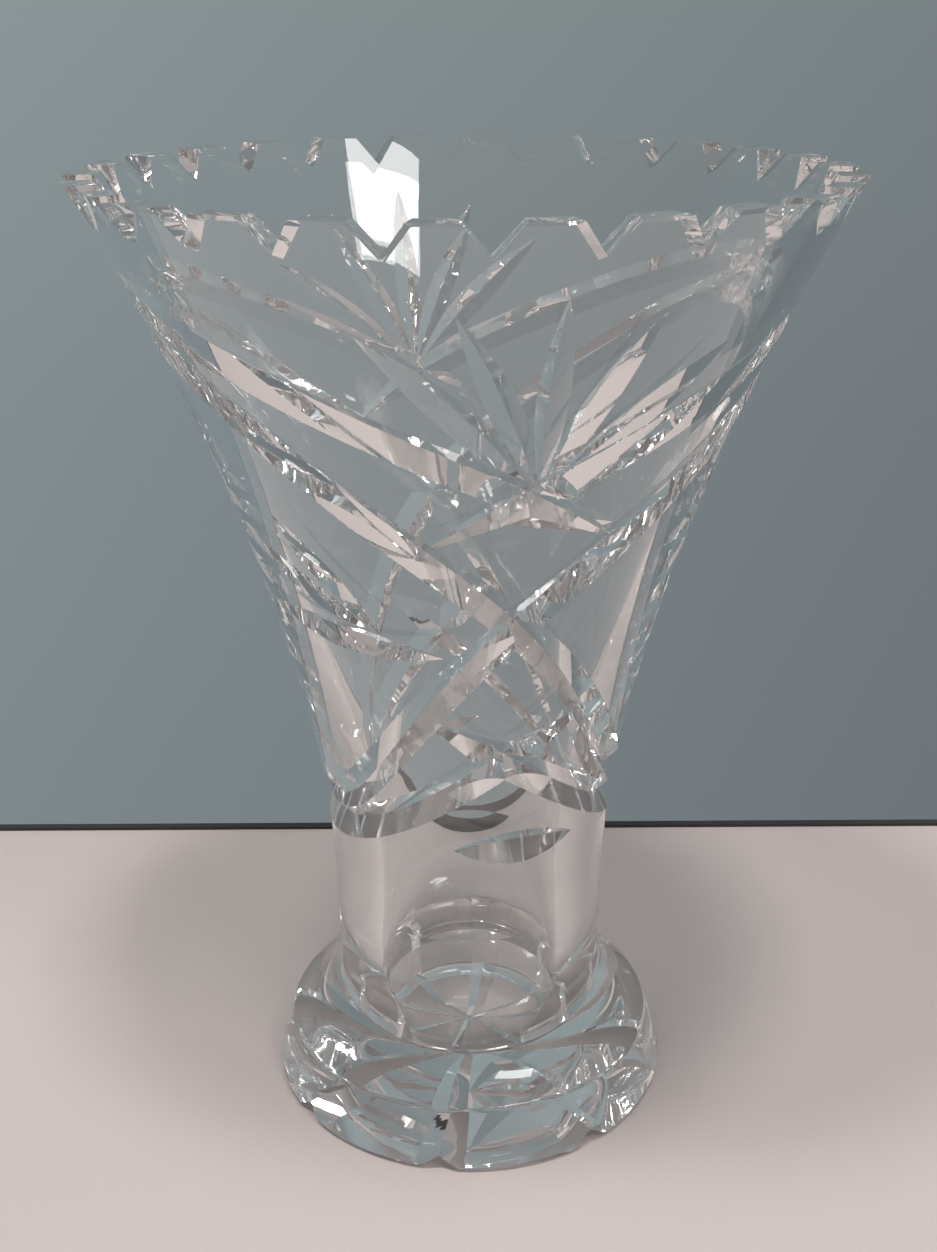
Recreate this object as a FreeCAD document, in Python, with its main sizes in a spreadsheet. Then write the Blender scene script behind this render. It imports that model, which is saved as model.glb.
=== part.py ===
import FreeCAD, Part
import math
import os
import Sketcher

# Footed cut-crystal vase: a flared bowl with a toothed rim and a spread base, on a solid star-cut foot.
# The two are separate pieces of hot glass joined face to face on the flat top of the foot.
# Frame: +Z up, origin at the centre of the resting face. Angles go round +Z, zero at the front (-Y).

SIZES = [
    ("overall_height", 250.0), ("rim_radius", 93.0), ("rim_wall", 7.0),
    ("neck_radius", 37.3), ("neck_top", 60.0), ("flare_start", 107.0), ("flare_bend_outer", 240.0),
    ("well_radius", 24.6), ("well_top", 55.0), ("flare_bend_inner", 199.4),
    ("floor_height", 13.5), ("floor_fillet", 3.5),
    ("stem_radius", 36.6), ("cove_top", 39.18), ("cove_bend", 24.0), ("cone_slope", 34.0),
    ("shoulder_bend", 2.6),
    ("joint_height", 9.5), ("joint_radius", 53.09),
    ("base_radius", 54.7), ("foot_radius", 55.4), ("foot_chamfer", 1.5),
    ("star_rays", 8), ("star_turn", -8.7), ("star_depth", 4.6), ("star_centre_depth", 0.5),
    ("star_angle", 116.0), ("star_clear", 1.0),
    ("rim_teeth", 26), ("notch_turn", 3.4), ("notch_width", 11.6), ("notch_depth", 7.2),
    ("notch_clear", 2.0),
    ("mitre_angle", 110.0), ("mitre_reach", 7.0), ("cross_turn", 12.0),
    ("wave_mean", 152.8), ("wave_swing", 61.4), ("wave_third", 2.6), ("wave_fourth", 1.6),
    ("wave_depth", 3.3),
    ("arch_mean", 185.3), ("arch_swing", 41.1), ("arch_second", -3.2), ("arch_third", 2.8),
    ("arch_depth", 3.2), ("arch_end", 112.0),
    ("garland_mean", 115.0), ("garland_swing", -29.5), ("garland_depth", 3.4), ("garland_end", 117.0),
]

# Straight mitre cuts: name, start angle, start height, end angle, end height, depth.
LEAVES = [
    ("fan_far_left", 13.0, 190.0, -16.0, 226.5, 2.8),
    ("fan_left", 13.2, 190.5, -1.5, 231.5, 2.6),
    ("fan_middle", 13.5, 190.5, 13.5, 235.0, 2.6),
    ("fan_right", 13.8, 190.5, 29.0, 230.5, 2.6),
    ("fan_far_right", 14.0, 190.0, 45.0, 221.5, 2.8),
    ("neck_lens", -6.0, 88.0, 43.0, 88.0, 3.5),
    ("side_long", -6.0, 146.0, -60.0, 151.5, 2.8),
    ("side_upper", -23.0, 152.0, -47.0, 179.0, 2.4),
    ("side_middle", -26.0, 152.5, -58.0, 168.5, 2.4),
]

doc = FreeCAD.newDocument("cut_crystal_vase")


def make_sheet():
    sheet = doc.addObject("Spreadsheet::Sheet", "Sizes")
    for row, (alias, value) in enumerate(SIZES, start=1):
        sheet.set("A%d" % row, alias)
        sheet.set("B%d" % row, repr(value))
        sheet.setAlias("B%d" % row, alias)
    doc.recompute()
    return sheet


def origin_feature(body, role):
    for feature in body.Origin.OriginFeatures:
        if feature.Role == role:
            return feature
    raise ValueError(role)


def new_sketch(body, name, role):
    sketch = body.newObject("Sketcher::SketchObject", name)
    sketch.AttachmentSupport = [(origin_feature(body, role), "")]
    sketch.MapMode = "FlatFace"
    return sketch


def join_loop(sketch, count, smooth):
    """Close a loop of edges end to start; the joints named in smooth are tangent."""
    for index in range(count):
        kind = "Tangent" if index in smooth else "Coincident"
        sketch.addConstraint(Sketcher.Constraint(kind, index, 2, (index + 1) % count, 1))


def bind_point(sketch, edge, end, across, up):
    """Tie one end of an edge to the sheet: across from the axis and up from the table."""
    spot = sketch.getPoint(edge, end)
    for kind, formula, drawn in (("DistanceX", across, spot.x), ("DistanceY", up, spot.y)):
        if formula is not None:
            index = sketch.addConstraint(Sketcher.Constraint(kind, -1, 1, edge, end, drawn))
            sketch.setExpression("Constraints[%d]" % index, formula)


def bind_radius(sketch, edge, formula):
    index = sketch.addConstraint(Sketcher.Constraint("Radius", edge, sketch.Geometry[edge].Radius))
    sketch.setExpression("Constraints[%d]" % index, formula)


def line(x1, y1, x2, y2):
    return Part.LineSegment(FreeCAD.Vector(x1, y1, 0), FreeCAD.Vector(x2, y2, 0))


def arc(cx, cy, radius, start, end):
    """Arc from start to end, in degrees, counter-clockwise."""
    circle = Part.Circle(FreeCAD.Vector(cx, cy, 0), FreeCAD.Vector(0, 0, 1), radius)
    return Part.ArcOfCircle(circle, math.radians(start), math.radians(end))


class Flare:
    """A side of the bowl's wall as radius against height: a straight neck and two arcs that bend outwards."""

    def __init__(self, neck, low, mid, bend, rim, top):
        self.neck = neck
        self.low = low
        self.mid = mid
        self.bend = bend
        self.low_centre = (neck + bend, low)
        self.mid_radius = neck + bend - math.sqrt(bend ** 2 - (mid - low) ** 2)
        inward = ((self.low_centre[0] - self.mid_radius) / bend, (low - mid) / bend)
        chord = (rim - self.mid_radius, top - mid)
        along = chord[0] * inward[0] + chord[1] * inward[1]
        self.top_bend = (chord[0] ** 2 + chord[1] ** 2) / (2 * along)
        self.top_centre = (self.mid_radius + self.top_bend * inward[0], mid + self.top_bend * inward[1])
        self.lean = math.degrees(math.asin((mid - low) / bend))
        self.upper = math.degrees(math.asin((top - self.top_centre[1]) / self.top_bend))

    def low_arc(self):
        return arc(*self.low_centre, self.bend, 180 - self.lean, 180)

    def top_arc(self):
        return arc(*self.top_centre, self.top_bend, 180 - self.upper, 180 - self.lean)

    def radius(self, height):
        if height <= self.low:
            return self.neck
        centre, bend = (self.low_centre, self.bend)
        if height > self.mid:
            centre, bend = (self.top_centre, self.top_bend)
        return centre[0] - math.sqrt(bend ** 2 - (height - centre[1]) ** 2)

    def point(self, turn, height):
        angle = math.radians(turn)
        radius = self.radius(height)
        return FreeCAD.Vector(radius * math.sin(angle), -radius * math.cos(angle), height)

    def normal(self, turn, height):
        step = 0.5
        slope = (self.radius(height + step) - self.radius(height - step)) / (2 * step)
        angle = math.radians(turn)
        outward = FreeCAD.Vector(math.sin(angle), -math.cos(angle), -slope)
        return outward.normalize()


def outer_flare(sheet):
    return Flare(sheet.neck_radius, sheet.neck_top, sheet.flare_start, sheet.flare_bend_outer,
                 sheet.rim_radius, sheet.overall_height)


def inner_flare(sheet):
    return Flare(sheet.well_radius, sheet.well_top, sheet.flare_start, sheet.flare_bend_inner,
                 sheet.rim_radius - sheet.rim_wall, sheet.overall_height)


class BaseSlope:
    """Outside of the bowl below the neck: side, rounded shoulder, cone and cove, as drawn in the sketch."""

    def __init__(self, sheet):
        cone = math.radians(sheet.cone_slope)
        self.cove = (sheet.stem_radius + sheet.cove_bend, sheet.cove_top)
        self.cone_top = (self.cove[0] - sheet.cove_bend * math.sin(cone),
                         self.cove[1] - sheet.cove_bend * math.cos(cone))
        run = sheet.foot_radius - sheet.joint_radius
        rise = sheet.joint_height - sheet.foot_chamfer
        self.steep = math.atan2(rise, run)
        side_normal = (math.sin(self.steep), math.cos(self.steep))
        cone_normal = (math.sin(cone), math.cos(cone))
        side_reach = (sheet.joint_radius * side_normal[0] + sheet.joint_height * side_normal[1]
                      - sheet.shoulder_bend)
        cone_reach = (self.cone_top[0] * cone_normal[0] + self.cone_top[1] * cone_normal[1]
                      - sheet.shoulder_bend)
        cross = side_normal[0] * cone_normal[1] - side_normal[1] * cone_normal[0]
        self.shoulder = ((side_reach * cone_normal[1] - cone_reach * side_normal[1]) / cross,
                         (cone_reach * side_normal[0] - side_reach * cone_normal[0]) / cross)
        bend = sheet.shoulder_bend
        self.side_top = (self.shoulder[0] + bend * side_normal[0], self.shoulder[1] + bend * side_normal[1])
        self.cone_foot = (self.shoulder[0] + bend * cone_normal[0], self.shoulder[1] + bend * cone_normal[1])


def draw_bowl_profile(sketch, sheet):
    """Half section of the bowl, drawn at its true size; returns the number of edges."""
    top = sheet.overall_height
    well = sheet.well_radius
    fillet = sheet.floor_fillet
    floor = sheet.floor_height
    joint = sheet.joint_height
    outside = outer_flare(sheet)
    inside = inner_flare(sheet)
    slope = BaseSlope(sheet)
    side_turn = 90 - math.degrees(slope.steep)
    cone_turn = 90 - sheet.cone_slope
    edges = [
        line(0, joint, sheet.joint_radius, joint),
        line(sheet.joint_radius, joint, *slope.side_top),
        arc(*slope.shoulder, sheet.shoulder_bend, side_turn, cone_turn),
        line(*slope.cone_foot, *slope.cone_top),
        arc(*slope.cove, sheet.cove_bend, 180, 180 + cone_turn),
        line(sheet.stem_radius, sheet.cove_top, sheet.neck_radius, sheet.neck_top),
        outside.low_arc(),
        outside.top_arc(),
        line(sheet.rim_radius, top, sheet.rim_radius - sheet.rim_wall, top),
        inside.top_arc(),
        inside.low_arc(),
        line(well, sheet.well_top, well, floor + fillet),
        arc(well - fillet, floor + fillet, fillet, 270, 360),
        line(well - fillet, floor, 0, floor),
        line(0, floor, 0, joint),
    ]
    sketch.addGeometry(edges, False)
    sketch.addGeometry([line(sheet.foot_radius, sheet.foot_chamfer, sheet.joint_radius, joint)], True)
    return len(edges)


def build_bowl_blank(sheet):
    """The blown bowl before cutting, then the teeth ground into its rim."""
    body = doc.addObject("PartDesign::Body", "BowlBlank")
    sketch = new_sketch(body, "BowlProfile", "XZ_Plane")
    top = sheet.overall_height
    foot_side = draw_bowl_profile(sketch, sheet)
    ends = [(0, 2, 1, 1, "Coincident"), (1, 2, 2, 1, "Tangent"), (2, 2, 3, 1, "Tangent"),
            (3, 2, 4, 2, "Tangent"), (4, 1, 5, 1, "Coincident"), (5, 2, 6, 2, "Coincident"),
            (6, 1, 7, 2, "Tangent"), (7, 1, 8, 1, "Coincident"), (8, 2, 9, 1, "Coincident"),
            (9, 2, 10, 1, "Tangent"), (10, 2, 11, 1, "Tangent"), (11, 2, 12, 2, "Tangent"),
            (12, 1, 13, 1, "Tangent"), (13, 2, 14, 1, "Coincident"), (14, 2, 0, 1, "Coincident")]
    for first, first_end, second, second_end, kind in ends:
        sketch.addConstraint(Sketcher.Constraint(kind, first, first_end, second, second_end))
    for index, kind in ((0, "Horizontal"), (8, "Horizontal"), (11, "Vertical"), (13, "Horizontal")):
        sketch.addConstraint(Sketcher.Constraint(kind, index))
    sketch.addConstraint(Sketcher.Constraint("PointOnObject", 0, 1, -2))
    sketch.addConstraint(Sketcher.Constraint("PointOnObject", 13, 2, -2))
    sketch.addConstraint(Sketcher.Constraint("Parallel", 1, foot_side))
    bind_point(sketch, foot_side, 1, "Sizes.foot_radius", "Sizes.foot_chamfer")
    bind_point(sketch, foot_side, 2, "Sizes.joint_radius", "Sizes.joint_height")
    bind_point(sketch, 1, 1, "Sizes.joint_radius", "Sizes.joint_height")
    bind_radius(sketch, 2, "Sizes.shoulder_bend")
    bind_radius(sketch, 4, "Sizes.cove_bend")
    bind_point(sketch, 4, 3, "Sizes.stem_radius + Sizes.cove_bend", "Sizes.cove_top")
    bind_point(sketch, 4, 1, None, "Sizes.cove_top")
    cone = sketch.addConstraint(Sketcher.Constraint("Angle", 3, math.radians(180 - sheet.cone_slope)))
    sketch.setExpression("Constraints[%d]" % cone, "(180 - Sizes.cone_slope) * 1 deg")
    bind_point(sketch, 6, 3, "Sizes.neck_radius + Sizes.flare_bend_outer", "Sizes.neck_top")
    bind_point(sketch, 6, 2, None, "Sizes.neck_top")
    bind_radius(sketch, 6, "Sizes.flare_bend_outer")
    bind_point(sketch, 6, 1, None, "Sizes.flare_start")
    bind_point(sketch, 7, 1, "Sizes.rim_radius", "Sizes.overall_height")
    bind_point(sketch, 8, 2, "Sizes.rim_radius - Sizes.rim_wall", None)
    bind_point(sketch, 9, 2, None, "Sizes.flare_start")
    bind_radius(sketch, 10, "Sizes.flare_bend_inner")
    bind_point(sketch, 11, 1, "Sizes.well_radius", "Sizes.well_top")
    bind_radius(sketch, 12, "Sizes.floor_fillet")
    bind_point(sketch, 13, 2, None, "Sizes.floor_height")
    turned = body.newObject("PartDesign::Revolution", "BowlTurned")
    turned.Profile = sketch
    turned.ReferenceAxis = (sketch, ["V_Axis"])
    turned.Angle = 360.0
    sketch.Visibility = False
    doc.recompute()

    notch = new_sketch(body, "NotchProfile", "XZ_Plane")
    notch.AttachmentOffset = FreeCAD.Placement(
        FreeCAD.Vector(0, 0, 0), FreeCAD.Rotation(FreeCAD.Vector(0, 1, 0), sheet.notch_turn))
    half = sheet.notch_width / 2
    notch.addGeometry([
        line(-half, top + 2, half, top + 2),
        line(half, top + 2, 0, top - sheet.notch_depth),
        line(0, top - sheet.notch_depth, -half, top + 2),
    ], False)
    join_loop(notch, 3, ())
    spread = "Sizes.notch_width / 2 * (Sizes.notch_depth + Sizes.notch_clear) / Sizes.notch_depth"
    bind_point(notch, 1, 1, spread, "Sizes.overall_height + Sizes.notch_clear")
    notch.addConstraint(Sketcher.Constraint("Symmetric", 0, 1, 0, 2, -2))
    notch.addConstraint(Sketcher.Constraint("PointOnObject", 1, 2, -2))
    bind_point(notch, 1, 2, None, "Sizes.overall_height - Sizes.notch_depth")
    doc.recompute()
    before = body.Shape.Volume
    cut = body.newObject("PartDesign::Pocket", "RimNotch")
    cut.Profile = notch
    cut.Type = "Length"
    cut.Length = 120.0
    cut.setExpression("Length", "Sizes.rim_radius + 20")
    cut.Reversed = True
    doc.recompute()
    if not before - body.Shape.Volume > 10:
        raise ValueError("the rim notch cuts nothing")
    teeth = body.newObject("PartDesign::PolarPattern", "RimTeeth")
    teeth.Originals = [cut]
    teeth.Axis = (origin_feature(body, "Z_Axis"), [""])
    teeth.Angle = 360.0
    teeth.Occurrences = 26
    teeth.setExpression("Occurrences", "Sizes.rim_teeth")
    body.Tip = teeth
    doc.recompute()
    return body


def mitre_cutter(sheet, flare, stations, closed_ends):
    """A V-edged cutter that follows stations of (turn, height, depth) over the bowl."""
    chart = Part.BSplineCurve()
    chart.interpolate([FreeCAD.Vector(turn, height, depth) for turn, height, depth in stations])
    samples = 2 * len(stations) + 3
    first, last = (chart.FirstParameter, chart.LastParameter)
    spread = sheet.mitre_reach * math.tan(math.radians(sheet.mitre_angle / 2))
    wires = []
    for index in range(samples):
        where = first + (last - first) * index / (samples - 1)
        spot = chart.value(where)
        heading = chart.tangent(where)[0]
        if closed_ends and index in (0, samples - 1):
            heading = FreeCAD.Vector(heading.x, 0, 0)
        point = flare.point(spot.x, spot.y)
        normal = flare.normal(spot.x, spot.y)
        ahead = flare.point(spot.x + heading.x * 0.01, spot.y + heading.y * 0.01)
        along = (ahead - point).normalize()
        side = along.cross(normal).normalize()
        keel = point - normal * spot.z
        lift = keel + normal * sheet.mitre_reach
        corners = [keel, lift + side * spread, lift - side * spread, keel]
        wires.append(Part.makePolygon(corners))
    return Part.makeLoft(wires, True, False)


def turned_copies(shape, copies):
    """The cutter and its copies at equal turns round the axis."""
    shapes = []
    for index in range(copies):
        other = shape.copy()
        other.rotate(FreeCAD.Vector(0, 0, 0), FreeCAD.Vector(0, 0, 1), 360.0 * index / copies)
        shapes.append(other)
    return shapes


def add_cutters(name, shapes):
    """Keep each cutter as an object of the document; the pattern repeats after half a turn."""
    made = []
    for shape in shapes:
        for copy in turned_copies(shape, 2):
            cutter = doc.addObject("Part::Feature", name)
            cutter.Shape = copy
            made.append(cutter)
    return made


def wave_height(sheet, phase):
    """Height of the long cut that runs right round the bowl, from a high side to a low side."""
    angle = math.radians(phase)
    return (sheet.wave_mean + sheet.wave_swing * math.cos(angle)
            + sheet.wave_third * math.cos(3 * angle) + sheet.wave_fourth * math.cos(4 * angle))


def arch_height(sheet, phase):
    """Height of the cut that arches over each side of the bowl below the rim."""
    angle = math.radians(phase)
    return (sheet.arch_mean + sheet.arch_swing * math.cos(angle)
            + sheet.arch_second * math.cos(2 * angle) + sheet.arch_third * math.cos(3 * angle))


def garland_height(sheet, phase):
    """Height of the cut that hangs round each side of the top of the neck."""
    return sheet.garland_mean + sheet.garland_swing * math.cos(math.radians(phase))


def tapered(depth, phase, end, taper):
    """Full depth along the cut, running out to nothing at its end."""
    left = (end - abs(phase)) / taper
    return depth * min(1.0, left) - 0.05


def long_cutters(sheet, flare):
    side = sheet.cross_turn - 90.0
    cutters = []
    for start in (0, -180):
        phases = [start + 10 * step for step in range(19)]
        stations = [(side + phase, wave_height(sheet, phase), sheet.wave_depth) for phase in phases]
        cutters += add_cutters("WaveCutter", [mitre_cutter(sheet, flare, stations, True)])
    for name, rule, end, depth in (
            ("ArchCutter", arch_height, sheet.arch_end, sheet.arch_depth),
            ("GarlandCutter", garland_height, sheet.garland_end, sheet.garland_depth)):
        steps = 24
        phases = [end * (2.0 * step / steps - 1.0) for step in range(steps + 1)]
        stations = [(side + phase, rule(sheet, phase), tapered(depth, phase, end, 22.0))
                    for phase in phases]
        cutters += add_cutters(name, [mitre_cutter(sheet, flare, stations, False)])
    return cutters


def leaf_cutters(sheet, flare):
    """Short straight cuts, deepest half way along and pointed at both ends."""
    cutters = []
    for name, turn, height, end_turn, end_height, depth in LEAVES:
        stations = []
        for part in (0.0, 0.25, 0.5, 0.75, 1.0):
            sink = depth * 4 * part * (1 - part) - 0.05
            stations.append((turn + (end_turn - turn) * part, height + (end_height - height) * part, sink))
        cutters += add_cutters(name, [mitre_cutter(sheet, flare, stations, False)])
    return cutters


def build_bowl(sheet):
    """The bowl: the turned and toothed blank with every cutter taken out of it in turn."""
    blank = build_bowl_blank(sheet)
    flare = outer_flare(sheet)
    cutters = long_cutters(sheet, flare) + leaf_cutters(sheet, flare)
    shape = blank.Shape.copy()
    for cutter in cutters:
        before = shape.Volume
        shape = shape.cut(cutter.Shape)
        if not before - shape.Volume > 50:
            raise ValueError(cutter.Name + " cuts nothing")
    bowl = doc.addObject("Part::Feature", "FlaredBowl")
    bowl.Label = "flared_bowl"
    bowl.Shape = shape.Solids[0]
    bowl.Placement = FreeCAD.Placement()
    doc.recompute()
    return bowl


def triangle_sketch(body, name, offset, depth, angle, turn):
    """A V section standing on the base, with its point upwards."""
    sketch = new_sketch(body, name, "XZ_Plane")
    sketch.AttachmentOffset = FreeCAD.Placement(
        FreeCAD.Rotation(FreeCAD.Vector(0, 1, 0), turn).multVec(FreeCAD.Vector(0, 0, offset)),
        FreeCAD.Rotation(FreeCAD.Vector(0, 1, 0), turn))
    half = 2.0
    sketch.addGeometry([line(-half, -1, half, -1), line(half, -1, 0, 1), line(0, 1, -half, -1)], False)
    join_loop(sketch, 3, ())
    sketch.addConstraint(Sketcher.Constraint("Symmetric", 0, 1, 0, 2, -2))
    sketch.addConstraint(Sketcher.Constraint("PointOnObject", 1, 2, -2))
    bind_point(sketch, 1, 1, "(%s + Sizes.star_clear) * tan(%s / 2 * 1 deg)" % (depth, angle),
               "-Sizes.star_clear")
    bind_point(sketch, 1, 2, None, depth)
    return sketch


def build_foot(sheet):
    """The solid foot: a thick flat disc with sloping sides and a star cut into its underside."""
    body = doc.addObject("PartDesign::Body", "StarFoot")
    body.Label = "star_foot"
    sketch = new_sketch(body, "FootProfile", "XZ_Plane")
    points = [
        (0, 0), (sheet.base_radius, 0), (sheet.foot_radius, sheet.foot_chamfer),
        (sheet.joint_radius, sheet.joint_height), (0, sheet.joint_height),
    ]
    count = len(points)
    edges = [line(*points[index], *points[(index + 1) % count]) for index in range(count)]
    sketch.addGeometry(edges, False)
    join_loop(sketch, count, ())
    sketch.addConstraint(Sketcher.Constraint("Coincident", 0, 1, -1, 1))
    sketch.addConstraint(Sketcher.Constraint("Horizontal", 0))
    sketch.addConstraint(Sketcher.Constraint("PointOnObject", 3, 2, -2))
    sketch.addConstraint(Sketcher.Constraint("Horizontal", 3))
    bind_point(sketch, 1, 1, "Sizes.base_radius", None)
    bind_point(sketch, 2, 1, "Sizes.foot_radius", "Sizes.foot_chamfer")
    bind_point(sketch, 3, 1, "Sizes.joint_radius", "Sizes.joint_height")
    turned = body.newObject("PartDesign::Revolution", "FootTurned")
    turned.Profile = sketch
    turned.ReferenceAxis = (sketch, ["V_Axis"])
    turned.Angle = 360.0
    doc.recompute()
    before = body.Shape.Volume
    inner = triangle_sketch(body, "RayInner", 0.0, "Sizes.star_centre_depth", "Sizes.star_angle",
                            sheet.star_turn)
    outer = triangle_sketch(body, "RayOuter", 58.0, "Sizes.star_depth", "Sizes.star_angle",
                            sheet.star_turn)
    doc.recompute()
    ray = body.newObject("PartDesign::SubtractiveLoft", "StarRay")
    ray.Profile = inner
    ray.Sections = [outer]
    ray.Ruled = True
    doc.recompute()
    if not before - body.Shape.Volume > 10:
        raise ValueError("the star ray cuts nothing")
    star = body.newObject("PartDesign::PolarPattern", "BaseStar")
    star.Originals = [ray]
    star.Axis = (origin_feature(body, "Z_Axis"), [""])
    star.Angle = 360.0
    star.Occurrences = 8
    star.setExpression("Occurrences", "Sizes.star_rays")
    body.Tip = star
    doc.recompute()
    return body


def check_and_write(pieces):
    for item in doc.Objects:
        if "Invalid" in item.State or "Error" in item.State:
            raise ValueError("failed object: " + item.Name)
    for piece in pieces:
        shape = piece.Shape
        if shape.isNull() or not shape.isValid() or len(shape.Solids) != 1:
            raise ValueError("bad shape: " + piece.Label)
    os.makedirs("parts", exist_ok=True)
    for piece in pieces:
        piece.Shape.exportStep("parts/%s.step" % piece.Label)
        box = piece.Shape.BoundBox
        print(piece.Label, round(piece.Shape.Volume), "mm3", box)


def main():
    sheet = make_sheet()
    bowl = build_bowl(sheet)
    foot = build_foot(sheet)
    check_and_write([bowl, foot])


main()
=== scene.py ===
import math

import bpy
import numpy as np
from mathutils import Matrix, Vector


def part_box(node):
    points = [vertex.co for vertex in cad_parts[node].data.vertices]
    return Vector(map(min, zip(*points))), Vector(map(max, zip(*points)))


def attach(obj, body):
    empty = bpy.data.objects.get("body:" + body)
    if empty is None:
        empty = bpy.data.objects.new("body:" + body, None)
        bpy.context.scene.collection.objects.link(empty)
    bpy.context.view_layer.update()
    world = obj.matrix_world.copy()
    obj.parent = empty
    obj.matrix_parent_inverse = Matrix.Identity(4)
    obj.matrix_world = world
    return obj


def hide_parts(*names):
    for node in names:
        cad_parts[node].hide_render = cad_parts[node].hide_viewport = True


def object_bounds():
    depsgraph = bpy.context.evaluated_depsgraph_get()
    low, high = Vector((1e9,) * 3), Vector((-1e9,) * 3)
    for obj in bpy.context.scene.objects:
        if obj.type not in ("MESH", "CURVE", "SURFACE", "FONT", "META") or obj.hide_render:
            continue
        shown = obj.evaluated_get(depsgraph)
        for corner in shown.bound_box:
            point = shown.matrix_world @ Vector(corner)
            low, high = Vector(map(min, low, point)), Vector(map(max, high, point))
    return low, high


MM = 0.001
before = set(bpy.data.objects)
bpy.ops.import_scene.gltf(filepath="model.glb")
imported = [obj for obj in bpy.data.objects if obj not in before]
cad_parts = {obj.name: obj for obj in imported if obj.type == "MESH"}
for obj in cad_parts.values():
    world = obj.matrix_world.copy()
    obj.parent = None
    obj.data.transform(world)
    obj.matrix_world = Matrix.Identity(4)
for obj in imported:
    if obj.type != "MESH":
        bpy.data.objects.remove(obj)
cad_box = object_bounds()

# ---------------------------------------------------------------- sizes, in millimetres, as in the CAD
TOP = cad_box[1].z / MM
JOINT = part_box("star_foot")[1].z / MM
RIM_RADIUS, RIM_WALL = 93.0, 7.0
NECK_RADIUS, NECK_TOP, INNER_RADIUS, INNER_NECK_TOP = 37.3, 60.0, 24.6, 55.0
FLARE_START, BEND_OUTER, BEND_INNER = 107.0, 240.0, 199.4
FLOOR, FILLET = 13.5, 3.5
STEM_RADIUS, COVE_TOP, COVE_BEND, CONE_SLOPE = 36.6, 39.18, 24.0, 34.0
SHOULDER_BEND, JOINT_RADIUS = 2.6, 53.09
BASE_RADIUS, FOOT_RADIUS, FOOT_CHAMFER = 54.7, 55.4, 1.5

# The star under the foot; each ray's wheel starts RAY_BELOW under the resting face.
STAR_RAYS, STAR_TURN, STAR_DEPTH, STAR_CENTRE, STAR_REACH = 8, -8.7, 4.6, 0.5, 58.0
STAR_HALF_ANGLE, RAY_BELOW = math.radians(58.0), 1.0

# The rim's notches; each wheel runs between two radii and ends NOTCH_OVER above the rim.
TEETH, NOTCH_TURN, NOTCH_WIDTH, NOTCH_DEPTH = 26, 3.4, 11.6, 7.2
NOTCH_INNER, NOTCH_OUTER, NOTCH_OVER = 70.0, 113.0, 2.0

# The mitre wheel, and the angle from the front at which the long cuts cross.
MITRE_HALF_ANGLE, MITRE_REACH, CROSS_TURN = math.radians(55.0), 7.0, 12.0

# The long cuts: depth, and where each half starts, how far it goes and its step, in degrees.
WAVE_DEPTH, WAVE_STARTS, WAVE_SPAN, WAVE_STEP = 3.3, (-2, -182), 184, 2

# The arch and the garland: half length in degrees and depth; both run out over FADE degrees.
ARCH_END, ARCH_DEPTH, GARLAND_END, GARLAND_DEPTH, FADE = 112.0, 3.2, 117.0, 3.4, 22.0

# A cut's ends stay SKIM outside the glass, so that it starts from nothing.
SKIM, BAND_STATIONS, LEAF_STATIONS = 0.05, 48, 24

# Straight mitre cuts: start angle, start height, end angle, end height, depth.
LEAVES = [
    (13.0, 190.0, -16.0, 226.5, 2.8), (13.2, 190.5, -1.5, 231.5, 2.6), (13.5, 190.5, 13.5, 235.0, 2.6),
    (13.8, 190.5, 29.0, 230.5, 2.6), (14.0, 190.0, 45.0, 221.5, 2.8), (-6.0, 88.0, 43.0, 88.0, 3.5),
    (-6.0, 146.0, -60.0, 151.5, 2.8), (-23.0, 152.0, -47.0, 179.0, 2.4), (-26.0, 152.5, -58.0, 168.5, 2.4),
]

# How finely the turned surfaces are divided, round and along the profile.
SEGMENTS = 416
OUTER_BANDS, INNER_BANDS, COVE_BANDS, ROUND_BANDS = 72, 76, 16, 8

# Smoothing: the sharpest edge kept smooth in degrees, and the least agreement, as a cosine, between
# a face and the exact normal of the turned surface it came from.
CREASE, NORMAL_FIT, CHUNKS = 20.0, 0.95, 40
ON_AXIS = 1e-9


class Wall:
    """One side of the bowl's wall: a straight neck up to low, then arcs that meet at mid, to the rim."""

    def __init__(self, neck, low, mid, bend, rim):
        self.neck, self.low, self.mid, self.bend = neck, low, mid, bend
        self.low_centre = (neck + bend, low)
        self.mid_radius = neck + bend - math.sqrt(bend ** 2 - (mid - low) ** 2)
        inward = ((self.low_centre[0] - self.mid_radius) / bend, (low - mid) / bend)
        chord = (rim - self.mid_radius, TOP - mid)
        along = chord[0] * inward[0] + chord[1] * inward[1]
        self.top_bend = (chord[0] ** 2 + chord[1] ** 2) / (2 * along)
        self.top_centre = (self.mid_radius + self.top_bend * inward[0], mid + self.top_bend * inward[1])

    def arc(self, height):
        """The centre and radius of the arc that makes the wall at this height."""
        if height > self.mid:
            return self.top_centre, self.top_bend
        return self.low_centre, self.bend

    def radius(self, height):
        if height <= self.low:
            return self.neck
        centre, bend = self.arc(height)
        return centre[0] - math.sqrt(bend ** 2 - (height - centre[1]) ** 2)

    def normal(self, height):
        """Away from the axis, square to the wall, as (across, up)."""
        if height <= self.low:
            return (1.0, 0.0)
        centre, bend = self.arc(height)
        return ((centre[0] - self.radius(height)) / bend, (centre[1] - height) / bend)


outside = Wall(NECK_RADIUS, NECK_TOP, FLARE_START, BEND_OUTER, RIM_RADIUS)
inside = Wall(INNER_RADIUS, INNER_NECK_TOP, FLARE_START, BEND_INNER, RIM_RADIUS - RIM_WALL)


def at(turn, radius, height):
    """A point from its angle round the axis (zero at the front), radius and height, in millimetres."""
    angle = math.radians(turn)
    return Vector((radius * math.sin(angle), -radius * math.cos(angle), height))


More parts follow.
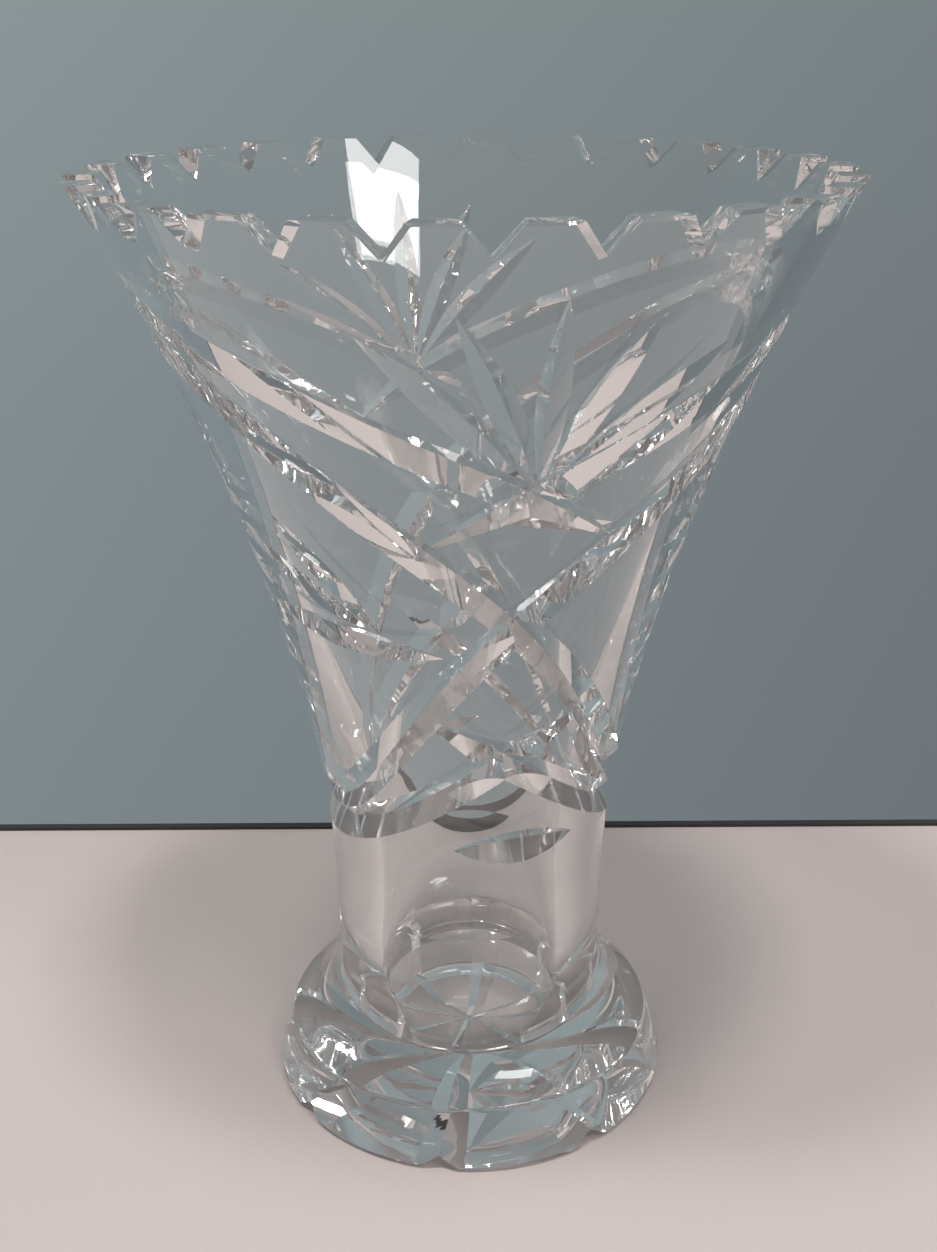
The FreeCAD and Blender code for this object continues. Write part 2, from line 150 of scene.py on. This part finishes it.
def mesh_object(name, points, faces, slots):
    """A mesh in the scene from points in millimetres; slots are its materials in order."""
    mesh = bpy.data.meshes.new(name)
    mesh.from_pydata([tuple(Vector(p) * MM) for p in points], [], faces)
    thing = bpy.data.objects.new(name, mesh)
    bpy.context.scene.collection.objects.link(thing)
    for material in slots:
        mesh.materials.append(material)
    return thing


# ---------------------------------------------------------------- turned blanks
def turned(name, profile, slots):
    """A lathe's work. Each band of the profile has two ends, as (radius, height, normal across,
    normal up), and the number of its material."""
    points, faces, numbers, rows = [], [], [], []
    spots = [profile[0][0]] + [band[1] for band in profile]
    for radius, height in (spot[:2] for spot in spots):
        if radius < ON_AXIS:
            rows.append([len(points)])
            points.append((0.0, 0.0, height))
            continue
        first = len(points)
        rows.append(list(range(first, first + SEGMENTS)))
        points += [at(360.0 * step / SEGMENTS, radius, height) for step in range(SEGMENTS)]
    for (start, end, slot), low, high in zip(profile, rows[:-1], rows[1:]):
        for step in range(SEGMENTS):
            after = (step + 1) % SEGMENTS
            if len(low) == 1:
                faces.append((low[0], high[after], high[step]))
            elif len(high) == 1:
                faces.append((low[step], low[after], high[0]))
            else:
                faces.append((low[step], low[after], high[after], high[step]))
            numbers.append(slot)
    thing = mesh_object(name, points, faces, slots)
    thing.data.polygons.foreach_set("material_index", numbers)
    return thing


def straight(start, end, slot):
    """One cone or disc of the profile; the glass is on the left going from start to end."""
    across, up = end[0] - start[0], end[1] - start[1]
    length = math.hypot(across, up)
    normal = (up / length, -across / length)
    return ((*start, *normal), (*end, *normal), slot)


def wall_bands(wall, low, high, count, sign, slot):
    """The wall between two heights; sign is -1 on the inside, where the normals face the axis."""
    spots = []
    for step in range(count + 1):
        height = low + (high - low) * step / count
        across, up = wall.normal(height)
        spots.append((wall.radius(height), height, sign * across, sign * up))
    return [(spots[step], spots[step + 1], slot) for step in range(count)]


def arc_bands(centre, bend, start, end, count, sign, slot):
    """An arc of the profile between two angles in degrees; sign is -1 where the glass is outside it."""
    spots = []
    for step in range(count + 1):
        angle = math.radians(start + (end - start) * step / count)
        across, up = math.cos(angle), math.sin(angle)
        spots.append((centre[0] + bend * across, centre[1] + bend * up, sign * across, sign * up))
    return [(spots[step], spots[step + 1], slot) for step in range(count)]


# ---------------------------------------------------------------- wheel cuts
def prism(name, sections):
    """A closed body through rings of the same number of points."""
    count = len(sections[0])
    points = [point for section in sections for point in section]
    faces = [tuple(range(count))[::-1], tuple(range(len(points) - count, len(points)))]
    for row in range(len(sections) - 1):
        for step in range(count):
            after = (step + 1) % count
            low, high = row * count, (row + 1) * count
            faces.append((low + step, low + after, high + after, high + step))
    return mesh_object(name, points, faces, [])


def mitre(path, turn):
    """A V-edged wheel's cut along stations of (angle, height, depth) over the outside of the bowl."""
    spread = MITRE_REACH * math.tan(MITRE_HALF_ANGLE)
    sections = []
    for index, (angle, height, depth) in enumerate(path):
        before, after = path[max(0, index - 1)], path[min(len(path) - 1, index + 1)]
        point = at(angle + turn, outside.radius(height), height)
        ahead = at(after[0] + turn, outside.radius(after[1]), after[1])
        behind = at(before[0] + turn, outside.radius(before[1]), before[1])
        across, up = outside.normal(height)
        normal = at(angle + turn, across, up)
        along = (ahead - behind).normalized()
        side = along.cross(normal).normalized()
        keel = point - normal * depth
        lift = keel + normal * MITRE_REACH
        sections.append([keel, lift + side * spread, lift - side * spread])
    return prism("cutter", sections)


def wave_height(phase):
    """Height of the long cut that runs right round the bowl."""
    angle = math.radians(phase)
    return 152.8 + 61.4 * math.cos(angle) + 2.6 * math.cos(3 * angle) + 1.6 * math.cos(4 * angle)


def arch_height(phase):
    """Height of the arch below the rim."""
    angle = math.radians(phase)
    return 185.3 + 41.1 * math.cos(angle) - 3.2 * math.cos(2 * angle) + 2.8 * math.cos(3 * angle)


def garland_height(phase):
    """Height of the garland round the top of the neck."""
    return 115.0 - 29.5 * math.cos(math.radians(phase))


def fading_path(side, rule, end, depth):
    """A cut that follows a height rule and runs out, over FADE degrees, at both ends."""
    path = []
    for step in range(2 * BAND_STATIONS + 1):
        phase = end * (step / BAND_STATIONS - 1.0)
        sink = depth * min(1.0, (end - abs(phase)) / FADE) - SKIM
        path.append((side + phase, rule(phase), sink))
    return path


def leaf_path(turn, height, end_turn, end_height, depth):
    """A straight cut, deepest in the middle."""
    path = []
    for step in range(LEAF_STATIONS + 1):
        part = step / LEAF_STATIONS
        sink = depth * 4 * part * (1 - part) - SKIM
        path.append((turn + (end_turn - turn) * part, height + (end_height - height) * part, sink))
    return path


def notch_cutters():
    """The V notches between the teeth."""
    cutters = []
    half = NOTCH_WIDTH / 2 * (NOTCH_DEPTH + NOTCH_OVER) / NOTCH_DEPTH
    keel, over = Vector((0, 0, TOP - NOTCH_DEPTH)), Vector((0, 0, TOP + NOTCH_OVER))
    for tooth in range(TEETH):
        turn = NOTCH_TURN + 360.0 * tooth / TEETH
        side_way = at(turn + 90.0, 1.0, 0.0)
        sections = []
        for reach in (NOTCH_INNER, NOTCH_OUTER):
            centre = at(turn, reach, 0.0)
            sections.append([centre + keel, centre + side_way * half + over, centre - side_way * half + over])
        cutters.append(prism("notch", sections))
    return cutters


def bowl_cutters():
    """Every cut and its copy half a turn round."""
    side = CROSS_TURN - 90.0
    paths = []
    for start in WAVE_STARTS:
        phases = range(start, start + WAVE_SPAN + 1, WAVE_STEP)
        paths.append([(side + phase, wave_height(phase), WAVE_DEPTH) for phase in phases])
    paths.append(fading_path(side, arch_height, ARCH_END, ARCH_DEPTH))
    paths.append(fading_path(side, garland_height, GARLAND_END, GARLAND_DEPTH))
    paths += [leaf_path(*leaf) for leaf in LEAVES]
    cutters = []
    for path in paths:
        cutters += [mitre(path, 0.0), mitre(path, 180.0)]
    return cutters + notch_cutters()


def star_cutters():
    """The eight rays under the foot, deeper towards its edge."""
    cutters = []
    below = Vector((0, 0, RAY_BELOW))
    for ray in range(STAR_RAYS):
        turn = STAR_TURN + 360.0 * ray / STAR_RAYS
        side_way = at(turn + 90.0, 1.0, 0.0)
        sections = []
        for reach, depth in ((0.0, STAR_CENTRE), (STAR_REACH, STAR_DEPTH)):
            half = (depth + RAY_BELOW) * math.tan(STAR_HALF_ANGLE)
            centre = at(turn, reach, 0.0)
            sections.append([centre + Vector((0, 0, depth)), centre + side_way * half - below,
                             centre - side_way * half - below])
        cutters.append(prism("ray", sections))
    return cutters


def outward(thing):
    """Turn a closed mesh right side out."""
    mesh = thing.data
    mesh.validate()
    total = 0.0
    for face in mesh.polygons:
        points = [mesh.vertices[index].co for index in face.vertices]
        for second, third in zip(points[1:-1], points[2:]):
            total += points[0].dot(second.cross(third))
    if total < 0:
        mesh.flip_normals()


def grind(blank, cutters, cut_slot):
    """Take the cutters out of the blank one after another; the new faces get the slot of the cuts."""
    outward(blank)
    for cutter in cutters:
        outward(cutter)
        for material in blank.data.materials:
            cutter.data.materials.append(material)
        cutter.data.polygons.foreach_set("material_index", [cut_slot] * len(cutter.data.polygons))
        step = blank.modifiers.new("cut", "BOOLEAN")
        step.operation = "DIFFERENCE"
        step.solver = "MANIFOLD"
        step.object = cutter
    bpy.context.view_layer.update()
    ready = blank.evaluated_get(bpy.context.evaluated_depsgraph_get())
    mesh = bpy.data.meshes.new_from_object(ready)
    blank.modifiers.clear()
    old = blank.data
    blank.data = mesh
    bpy.data.meshes.remove(old)
    mesh.name = blank.name
    for cutter in cutters:
        shape = cutter.data
        bpy.data.objects.remove(cutter)
        bpy.data.meshes.remove(shape)


def polish(thing, profile, cut_slot):
    """Smooth normals: exact ones on the turned faces, and averaged ones along each cut's flanks."""
    mesh = thing.data
    count = len(mesh.polygons)
    slots = np.zeros(count, int)
    mesh.polygons.foreach_get("material_index", slots)
    mesh.polygons.foreach_set("use_smooth", [True] * count)
    face_normals = np.zeros(count * 3)
    mesh.polygons.foreach_get("normal", face_normals)
    face_normals = face_normals.reshape(-1, 3)
    centres = np.zeros(count * 3)
    mesh.polygons.foreach_get("center", centres)
    centres = centres.reshape(-1, 3) / MM

    loops = len(mesh.loops)
    loop_edge = np.zeros(loops, int)
    mesh.loops.foreach_get("edge_index", loop_edge)
    loop_vert = np.zeros(loops, int)
    mesh.loops.foreach_get("vertex_index", loop_vert)
    totals = np.zeros(count, int)
    mesh.polygons.foreach_get("loop_total", totals)
    loop_face = np.repeat(np.arange(count), totals)

    order = np.argsort(loop_edge, kind="stable")
    first, second = order[0::2], order[1::2]
    one, two = loop_face[first], loop_face[second]
    bend = np.clip((face_normals[one] * face_normals[two]).sum(1), -1, 1)
    sharp = np.zeros(len(mesh.edges), bool)
    sharp[loop_edge[first]] = (bend < math.cos(math.radians(CREASE))) | (slots[one] != slots[two])
    attribute = mesh.attributes.get("sharp_edge") or mesh.attributes.new("sharp_edge", "BOOLEAN", "EDGE")
    attribute.data.foreach_set("value", sharp)

    normals = np.zeros(loops * 3)
    mesh.corner_normals.foreach_get("vector", normals)
    normals = normals.reshape(-1, 3)
    points = np.zeros(len(mesh.vertices) * 3)
    mesh.vertices.foreach_get("co", points)
    points = points.reshape(-1, 3) / MM

    starts = np.array([band[0][:2] for band in profile])
    ends = np.array([band[1][:2] for band in profile])
    start_normals = np.array([band[0][2:] for band in profile])
    end_normals = np.array([band[1][2:] for band in profile])
    spans = ends - starts
    lengths = (spans ** 2).sum(1)
    flat = np.stack([np.hypot(centres[:, 0], centres[:, 1]), centres[:, 2]], 1)
    turned_face = slots != cut_slot
    nearest = np.zeros(count, int)
    for chunk in np.array_split(np.where(turned_face)[0], CHUNKS):
        offset = flat[chunk, None, :] - starts[None]
        share = np.clip((offset * spans).sum(2) / lengths, 0, 1)
        gap = ((offset - share[..., None] * spans) ** 2).sum(2)
        nearest[chunk] = gap.argmin(1)
    corner = turned_face[loop_face]
    spot = points[loop_vert[corner]]
    band = nearest[loop_face[corner]]
    radius = np.hypot(spot[:, 0], spot[:, 1])
    offset = np.stack([radius, spot[:, 2]], 1) - starts[band]
    share = np.clip((offset * spans[band]).sum(1) / lengths[band], 0, 1)[:, None]
    across_up = start_normals[band] * (1 - share) + end_normals[band] * share
    away = spot[:, :2] / np.maximum(radius, ON_AXIS)[:, None]
    exact = np.concatenate([away * across_up[:, :1], across_up[:, 1:]], 1)
    exact /= np.linalg.norm(exact, axis=1)[:, None]
    fits = (exact * face_normals[loop_face[corner]]).sum(1) > NORMAL_FIT
    chosen = np.where(corner)[0][fits]
    normals[chosen] = exact[fits]
    mesh.normals_split_custom_set(normals.tolist())
    mesh.update()


# ---------------------------------------------------------------- materials
GLASS_INDEX = 1.545


def new_material(name):
    material = bpy.data.materials.new(name)
    material.use_nodes = True
    return material, material.node_tree.nodes["Principled BSDF"]


def noise(tree, scale, detail, distortion=0.0):
    """Cloudy values by place on the object, scale in repeats per metre."""
    coordinate = tree.nodes.new("ShaderNodeTexCoord")
    node = tree.nodes.new("ShaderNodeTexNoise")
    node.inputs["Scale"].default_value = scale
    node.inputs["Detail"].default_value = detail
    node.inputs["Distortion"].default_value = distortion
    tree.links.new(coordinate.outputs["Object"], node.inputs["Vector"])
    return node.outputs[0]


def spread(tree, value, low, high, start, end):
    """Map low to high onto start to end."""
    node = tree.nodes.new("ShaderNodeMapRange")
    node.inputs["From Min"].default_value = low
    node.inputs["From Max"].default_value = high
    node.inputs["To Min"].default_value = start
    node.inputs["To Max"].default_value = end
    tree.links.new(value, node.inputs["Value"])
    return node.outputs["Result"]


def crystal(name, tint, ripple, ripple_size, film):
    """Polished lead crystal: ripples left by the polish, their depth and width in millimetres, and a
    faint film of handling marks in the roughness."""
    material, shader = new_material(name)
    tree = material.node_tree
    shader.inputs["Base Color"].default_value = (*tint, 1.0)
    shader.inputs["Transmission Weight"].default_value = 1.0
    shader.inputs["IOR"].default_value = GLASS_INDEX
    smear = noise(tree, scale=38.0, detail=4.0, distortion=0.6)
    roughness = spread(tree, smear, low=0.45, high=0.8, start=0.0, end=film)
    tree.links.new(roughness, shader.inputs["Roughness"])
    bump = tree.nodes.new("ShaderNodeBump")
    bump.inputs["Strength"].default_value = 1.0
    bump.inputs["Distance"].default_value = ripple * MM
    tree.links.new(noise(tree, scale=1.0 / (ripple_size * MM), detail=1.5), bump.inputs["Height"])
    tree.links.new(bump.outputs["Normal"], shader.inputs["Normal"])
    return material


def joined(name):
    """The face where the bowl is fused to the foot: glass meets glass, so nothing shows."""
    material, shader = new_material(name)
    shader.inputs["Base Color"].default_value = (1.0, 1.0, 1.0, 1.0)
    shader.inputs["Alpha"].default_value = 0.0
    return material


bowl_glass = crystal("bowl_crystal", (0.988, 0.996, 0.994), 0.035, 22.0, 0.03)
cut_glass = crystal("cut_crystal", (0.99, 0.995, 0.993), 0.03, 9.0, 0.05)
foot_glass = crystal("foot_crystal", (0.985, 0.996, 0.994), 0.03, 16.0, 0.03)
star_glass = crystal("star_crystal", (0.99, 0.995, 0.993), 0.03, 9.0, 0.05)
fused = joined("fused_face")

# ---------------------------------------------------------------- the two pieces
# Numbers of the materials in each piece.
POLISHED, FUSED, CUT = 0, 1, 2

# The shoulder's arc touches the foot's sloping side, carried on up, and the cone above it.
cone = math.radians(CONE_SLOPE)
steep = math.atan2(JOINT - FOOT_CHAMFER, FOOT_RADIUS - JOINT_RADIUS)
cove = Vector((STEM_RADIUS + COVE_BEND, COVE_TOP))
side_normal = Vector((math.sin(steep), math.cos(steep)))
cone_normal = Vector((math.sin(cone), math.cos(cone)))
cone_top = cove - COVE_BEND * cone_normal
side_reach = side_normal.dot((JOINT_RADIUS, JOINT)) - SHOULDER_BEND
cone_reach = cone_normal.dot(cone_top) - SHOULDER_BEND
cross = side_normal.x * cone_normal.y - side_normal.y * cone_normal.x
shoulder = Vector((side_reach * cone_normal.y - cone_reach * side_normal.y,
                   cone_reach * side_normal.x - side_reach * cone_normal.x)) / cross
side_top = shoulder + SHOULDER_BEND * side_normal
cone_foot = shoulder + SHOULDER_BEND * cone_normal

bowl_profile = [straight((0.0, JOINT), (JOINT_RADIUS, JOINT), FUSED),
                straight((JOINT_RADIUS, JOINT), side_top, POLISHED)]
bowl_profile += arc_bands(shoulder, SHOULDER_BEND, 90.0 - math.degrees(steep), 90.0 - CONE_SLOPE,
                          ROUND_BANDS, 1, POLISHED)
bowl_profile += [straight(cone_foot, cone_top, POLISHED)]
bowl_profile += arc_bands(cove, COVE_BEND, 270.0 - CONE_SLOPE, 180.0, COVE_BANDS, -1, POLISHED)
bowl_profile += [straight((STEM_RADIUS, COVE_TOP), (NECK_RADIUS, NECK_TOP), POLISHED)]
bowl_profile += wall_bands(outside, NECK_TOP, TOP, OUTER_BANDS, 1, POLISHED)
bowl_profile += [straight((RIM_RADIUS, TOP), (RIM_RADIUS - RIM_WALL, TOP), POLISHED)]
bowl_profile += wall_bands(inside, TOP, INNER_NECK_TOP, INNER_BANDS, -1, POLISHED)
bowl_profile += [straight((INNER_RADIUS, INNER_NECK_TOP), (INNER_RADIUS, FLOOR + FILLET), POLISHED)]
bowl_profile += arc_bands((INNER_RADIUS - FILLET, FLOOR + FILLET), FILLET, 0.0, -90.0,
                          ROUND_BANDS, -1, POLISHED)
bowl_profile += [straight((INNER_RADIUS - FILLET, FLOOR), (0.0, FLOOR), POLISHED)]

foot_profile = [straight((0.0, 0.0), (BASE_RADIUS, 0.0), POLISHED),
                straight((BASE_RADIUS, 0.0), (FOOT_RADIUS, FOOT_CHAMFER), POLISHED),
                straight((FOOT_RADIUS, FOOT_CHAMFER), (JOINT_RADIUS, JOINT), POLISHED),
                straight((JOINT_RADIUS, JOINT), (0.0, JOINT), FUSED)]

bowl = turned("crystal_bowl", bowl_profile, [bowl_glass, fused, cut_glass])
grind(bowl, bowl_cutters(), CUT)
polish(bowl, bowl_profile, CUT)

foot = turned("crystal_foot", foot_profile, [foot_glass, fused, star_glass])
grind(foot, star_cutters(), CUT)
polish(foot, foot_profile, CUT)

for piece, node, slot in ((bowl, "flared_bowl", "bowl_crystal"), (foot, "star_foot", "foot_crystal")):
    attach(piece, "root")
    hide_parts(node)

# ---------------------------------------------------------------- camera
CAMERA_SPOT = Vector((-0.0002, -0.37881, 0.28941))
PITCH, YAW, ROLL = 0.390992, 0.0012157, -0.0047657
FOCAL_SHARE = 1550.0 / 1252.0
SENSOR = 36.0
NEAREST, FARTHEST = 0.01, 50.0

lens = bpy.data.cameras.new("camera")
lens.sensor_width = SENSOR
lens.lens = FOCAL_SHARE * SENSOR
lens.clip_start = NEAREST
lens.clip_end = FARTHEST
camera = bpy.data.objects.new("camera", lens)
bpy.context.scene.collection.objects.link(camera)
bpy.context.scene.camera = camera
gaze = Vector((math.sin(YAW) * math.cos(PITCH), math.cos(YAW) * math.cos(PITCH), -math.sin(PITCH)))
right = gaze.cross(Vector((0, 0, 1))).normalized()
upward = right.cross(gaze)
rolled_right = right * math.cos(ROLL) + upward * math.sin(ROLL)
rolled_up = upward * math.cos(ROLL) - right * math.sin(ROLL)
placed = Matrix((rolled_right, rolled_up, -gaze)).transposed().to_4x4()
placed.translation = CAMERA_SPOT
camera.matrix_world = placed

# ---------------------------------------------------------------- table, backdrop, light, in metres
TABLE_HALF, TABLE_BACK, TABLE_THICK = 1.6, 0.126, 0.03
LIP_WIDTH, LIP_BOTTOM, LIP_TOP = 0.003, -0.004, 0.0009
# The glass stands this far above the table, so that the two faces don't coincide.
AIR_GAP = 0.0002

# The room by direction: the wall from left to right, its shade from low to high, and all the rest.
WALL_ACROSS = [(0.235, 0.283, 0.303), (0.200, 0.235, 0.250), (0.160, 0.190, 0.204)]
WALL_LIFT = [(0.90, 0.89, 0.89), (0.98, 0.97, 0.97), (1.13, 1.115, 1.08)]
ROOM = [(0.20, 0.185, 0.18), (0.15, 0.142, 0.138), (0.20, 0.19, 0.187), (0.39, 0.375, 0.37)]

# A ray needs many turns inside cut glass before it finds its way out.
BOUNCES, CLEAR_BOUNCES = 120, 32


def table_material():
    """A matt pale laminate with a faint mottle."""
    material, shader = new_material("table_top")
    tree = material.node_tree
    ramp = tree.nodes.new("ShaderNodeValToRGB")
    ramp.color_ramp.elements[0].color = (0.645, 0.580, 0.568, 1)
    ramp.color_ramp.elements[1].color = (0.670, 0.605, 0.594, 1)
    tree.links.new(noise(tree, scale=9.0, detail=3.0), ramp.inputs["Fac"])
    tree.links.new(ramp.outputs["Color"], shader.inputs["Base Color"])
    shader.inputs["Roughness"].default_value = 0.55
    shader.inputs["Specular IOR Level"].default_value = 0.3
    return material


def slab(name, low, high, material):
    """A block of the stage between two corners."""
    corners = [(x, y, z) for z in (low[2], high[2]) for y in (low[1], high[1]) for x in (low[0], high[0])]
    faces = [(0, 2, 3, 1), (4, 5, 7, 6), (0, 1, 5, 4), (2, 6, 7, 3), (0, 4, 6, 2), (1, 3, 7, 5)]
    thing = mesh_object(name, [tuple(c / MM for c in corner) for corner in corners], faces, [material])


def plain_material(name, colour, roughness):
    material, shader = new_material(name)
    shader.inputs["Base Color"].default_value = (*colour, 1.0)
    shader.inputs["Roughness"].default_value = roughness
    return material


slab("table", (-TABLE_HALF, -TABLE_HALF, -TABLE_THICK), (TABLE_HALF, TABLE_BACK, -AIR_GAP),
     table_material())
# A near-black strip along the table's back edge, standing a little above the top.
slab("table_lip", (-TABLE_HALF, TABLE_BACK, LIP_BOTTOM), (TABLE_HALF, TABLE_BACK + LIP_WIDTH, LIP_TOP),
     plain_material("dark_edge_strip", (0.035, 0.036, 0.038), 0.8))


def area(name, spot, aim, size, size_y, power, colour):
    """A soft rectangular lamp at a spot, turned to its aim."""
    lamp = bpy.data.lights.new(name, "AREA")
    lamp.shape = "RECTANGLE"
    lamp.size, lamp.size_y = size, size_y
    lamp.energy = power
    lamp.color = colour
    thing = bpy.data.objects.new(name, lamp)
    bpy.context.scene.collection.objects.link(thing)
    thing.location = spot
    thing.rotation_euler = (Vector(aim) - Vector(spot)).to_track_quat("-Z", "Y").to_euler()


area("lamp_window", (0.534, -0.705, 1.114), (-0.02, 0.07, 0.23), 0.47, 0.22, 3.6, (1.0, 0.97, 0.95))
area("lamp_above", (0.08, -0.30, 1.5), (0, 0, 0), 0.2, 0.2, 7.0, (1.0, 0.94, 0.90))
area("lamp_above_left", (-0.36, -0.29, 1.5), (0, 0, 0), 0.2, 0.2, 7.0, (1.0, 0.94, 0.90))


def sky():
    """The room as a colour of the world by direction, so the wall blocks no view from behind."""
    world = bpy.data.worlds.new("studio")
    bpy.context.scene.world = world
    world.use_nodes = True
    tree = world.node_tree
    background = tree.nodes["Background"]
    coordinate = tree.nodes.new("ShaderNodeTexCoord")
    split = tree.nodes.new("ShaderNodeSeparateXYZ")
    tree.links.new(coordinate.outputs["Generated"], split.inputs["Vector"])

    def ramp(value, low, high, colours):
        node = tree.nodes.new("ShaderNodeValToRGB")
        elements = node.color_ramp.elements
        while len(elements) < len(colours):
            elements.new(0.5)
        for index, colour in enumerate(colours):
            elements[index].position = index / (len(colours) - 1)
            elements[index].color = (*colour, 1)
        tree.links.new(spread(tree, value, low, high, 0, 1), node.inputs["Fac"])
        return node.outputs["Color"]

    def mix(factor, first, second, kind="MIX"):
        node = tree.nodes.new("ShaderNodeMix")
        node.data_type = "RGBA"
        node.blend_type = kind
        if isinstance(factor, float):
            node.inputs[0].default_value = factor
        else:
            tree.links.new(factor, node.inputs[0])
        # These three are the mix node's colour sockets.
        tree.links.new(first, node.inputs[6])
        tree.links.new(second, node.inputs[7])
        return node.outputs[2]

    across = ramp(split.outputs["X"], -0.35, 0.35, WALL_ACROSS)
    lift = ramp(split.outputs["Z"], -0.5, 0.0, WALL_LIFT)
    wall = mix(1.0, across, lift, "MULTIPLY")
    room = ramp(split.outputs["Z"], -0.5, 1.0, ROOM)
    behind = spread(tree, split.outputs["Y"], 0.05, 0.45, 0, 1)
    tree.links.new(mix(behind, room, wall), background.inputs["Color"])
    background.inputs["Strength"].default_value = 1.0


sky()
scene = bpy.context.scene
scene.view_settings.view_transform = "Standard"
scene.cycles.max_bounces = BOUNCES
scene.cycles.glossy_bounces = BOUNCES
scene.cycles.transmission_bounces = BOUNCES
scene.cycles.transparent_max_bounces = CLEAR_BOUNCES
